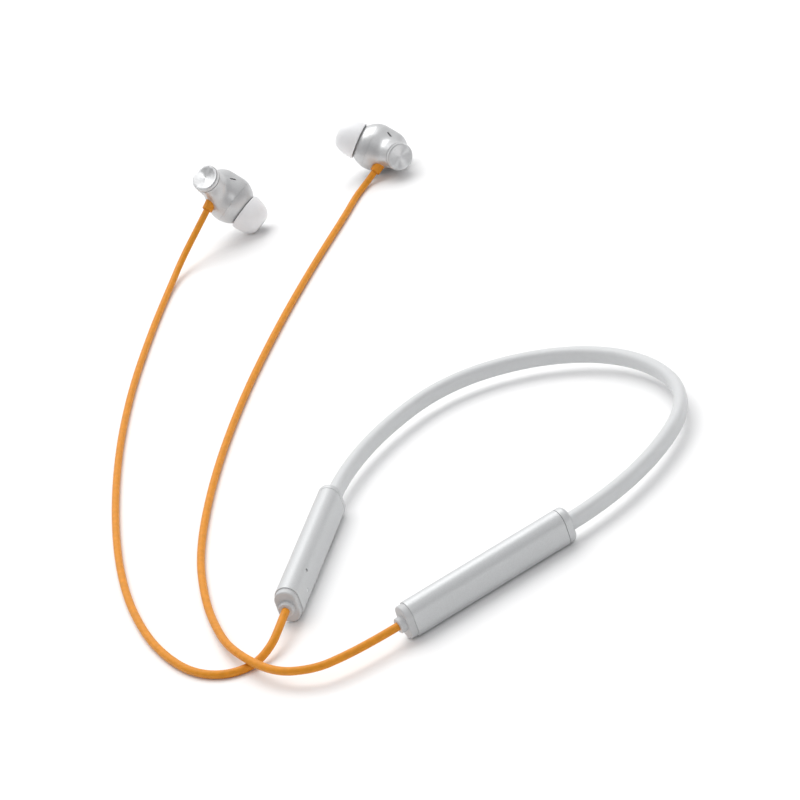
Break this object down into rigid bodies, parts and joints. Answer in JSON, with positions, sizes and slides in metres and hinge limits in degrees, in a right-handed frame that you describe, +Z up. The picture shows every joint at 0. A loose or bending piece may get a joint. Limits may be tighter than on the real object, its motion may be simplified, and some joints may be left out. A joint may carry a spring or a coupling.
{
  "type": "neckband earphones",
  "caption": "Wireless neckband earphones: a soft U-shaped neck strap with slim end pods, thin cords and in-ear buds, laid out on a flat surface.",
  "frame": {"origin": "on the supporting surface, under the middle of the bounding box of everything except the two cords", "axes": "+Z up from the surface, +Y along the neckband's line of symmetry towards the back of the neck, +X from the control pod to the battery pod"},
  "size_m": [0.2384, 0.2641, 0.0266],
  "materials": {
    "pod_metal": "satin, fine bead-blasted silver grey",
    "cap_plastic": "pale grey moulded, slight gloss",
    "strap_silicone": "off-white silicone, matt",
    "cord_orange": "orange, finely ribbed, slightly glossy",
    "bud_metal": "satin silver",
    "rear_cap_metal": "radially brushed, dished",
    "tip_silicone": "translucent white silicone",
    "spring_wire": "bright drawn wire",
    "harness_sheath": "black cable sheath",
    "cell_foil": "foil pouch",
    "foam_black": "closed-cell foam",
    "board_green": "solder-masked board",
    "chip_black": "moulded chip packages",
    "antenna_ceramic": "ceramic antenna",
    "nickel_tab": "nickel strip",
    "inner_plastic": "black moulded frame",
    "button_plastic": "silver-grey keys",
    "switch_plastic": "tactile switch bodies",
    "plunger_plastic": "switch plungers",
    "steel_can": "microphone can and port shell",
    "fine_mesh": "fine dark mesh",
    "led_body": "LED package",
    "led_lens": "clear light guide",
    "port_black": "port tongue",
    "magnet_nickel": "nickel-plated magnet",
    "driver_plastic": "driver basket",
    "diaphragm_film": "film cone with voice coil"
  },
  "bodies": {
    "neckband": {"battery_cell": "cell_foil", "battery_cord_grommet": "cap_plastic", "battery_foam_pad": "foam_black", "battery_pod_end_cap": "cap_plastic", "battery_pod_neck_cap": "pod_metal", "battery_pod_shell": "pod_metal", "battery_protection_board": "board_green", "battery_tabs": "nickel_tab", "battery_tray": "inner_plastic", "bluetooth_antenna": "antenna_ceramic", "control_board": "board_green", "control_board_chips": "chip_black", "control_cord_grommet": "cap_plastic", "control_pod_end_cap": "cap_plastic", "control_pod_frame": "inner_plastic", "control_pod_neck_cap": "pod_metal", "control_pod_shell": "pod_metal", "left_bud_front_shell": "bud_metal", "left_bud_rear_shell": "bud_metal", "left_cord": "cord_orange", "left_cord_boot": "cord_orange", "left_driver_frame": "driver_plastic", "left_driver_magnet": "magnet_nickel", "left_holding_magnet": "magnet_nickel", "left_nozzle_mesh": "fine_mesh", "left_rear_cap": "rear_cap_metal", "left_vent_mesh": "fine_mesh", "microphone": "steel_can", "microphone_mesh": "fine_mesh", "neckband_core_wire": "spring_wire", "neckband_harness": "harness_sheath", "neckband_strap": "strap_silicone", "right_bud_front_shell": "bud_metal", "right_bud_rear_shell": "bud_metal", "right_cord": "cord_orange", "right_cord_boot": "cord_orange", "right_driver_frame": "driver_plastic", "right_driver_magnet": "magnet_nickel", "right_holding_magnet": "magnet_nickel", "right_nozzle_mesh": "fine_mesh", "right_rear_cap": "rear_cap_metal", "right_vent_mesh": "fine_mesh", "status_led": "led_body", "status_led_lens": "led_lens", "switch_bodies": "switch_plastic", "usb_c_shell": "steel_can", "usb_c_tongue": "port_black"},
    "play_button": {"play_button": "button_plastic"},
    "play_switch_plunger": {"play_switch_plunger": "plunger_plastic"},
    "volume_up_button": {"volume_up_button": "button_plastic"},
    "volume_up_switch_plunger": {"volume_up_switch_plunger": "plunger_plastic"},
    "volume_down_button": {"volume_down_button": "button_plastic"},
    "volume_down_switch_plunger": {"volume_down_switch_plunger": "plunger_plastic"},
    "left_ear_tip": {"left_ear_tip": "tip_silicone"},
    "left_diaphragm": {"left_driver_diaphragm": "diaphragm_film"},
    "right_ear_tip": {"right_ear_tip": "tip_silicone"},
    "right_diaphragm": {"right_driver_diaphragm": "diaphragm_film"}
  },
  "joints": [
    {"name": "play_press", "type": "slide", "parent": "neckband", "child": "play_button", "axis": [0.9205, 0.3907, 0], "range_m": [0, 0.0003], "stiffness_N_per_m": 400},
    {"name": "play_switch_travel", "type": "slide", "parent": "neckband", "child": "play_switch_plunger", "axis": [0.9205, 0.3907, 0], "range_m": [0, 0.0003]},
    {"name": "volume_up_press", "type": "slide", "parent": "neckband", "child": "volume_up_button", "axis": [0.9205, 0.3907, 0], "range_m": [0, 0.0003], "stiffness_N_per_m": 400},
    {"name": "volume_up_switch_travel", "type": "slide", "parent": "neckband", "child": "volume_up_switch_plunger", "axis": [0.9205, 0.3907, 0], "range_m": [0, 0.0003]},
    {"name": "volume_down_press", "type": "slide", "parent": "neckband", "child": "volume_down_button", "axis": [0.9205, 0.3907, 0], "range_m": [0, 0.0003], "stiffness_N_per_m": 400},
    {"name": "volume_down_switch_travel", "type": "slide", "parent": "neckband", "child": "volume_down_switch_plunger", "axis": [0.9205, 0.3907, 0], "range_m": [0, 0.0003]},
    {"name": "left_tip_pull", "type": "slide", "parent": "neckband", "child": "left_ear_tip", "axis": [0.6473, 0.1116, -0.754], "range_m": [0, 0.005]},
    {"name": "left_diaphragm_throw", "type": "slide", "parent": "neckband", "child": "left_diaphragm", "axis": [0.6473, 0.1116, -0.754], "range_m": [-0.00015, 0.00015], "stiffness_N_per_m": 200},
    {"name": "right_tip_pull", "type": "slide", "parent": "neckband", "child": "right_ear_tip", "axis": [-0.7677, -0.255, 0.5879], "range_m": [0, 0.005]},
    {"name": "right_diaphragm_throw", "type": "slide", "parent": "neckband", "child": "right_diaphragm", "axis": [-0.7677, -0.255, 0.5879], "range_m": [-0.00015, 0.00015], "stiffness_N_per_m": 200}
  ],
  "couplings": [
    {"joint": "play_switch_travel", "follows": "play_press", "ratio": 1},
    {"joint": "volume_up_switch_travel", "follows": "volume_up_press", "ratio": 1},
    {"joint": "volume_down_switch_travel", "follows": "volume_down_press", "ratio": 1}
  ]
}
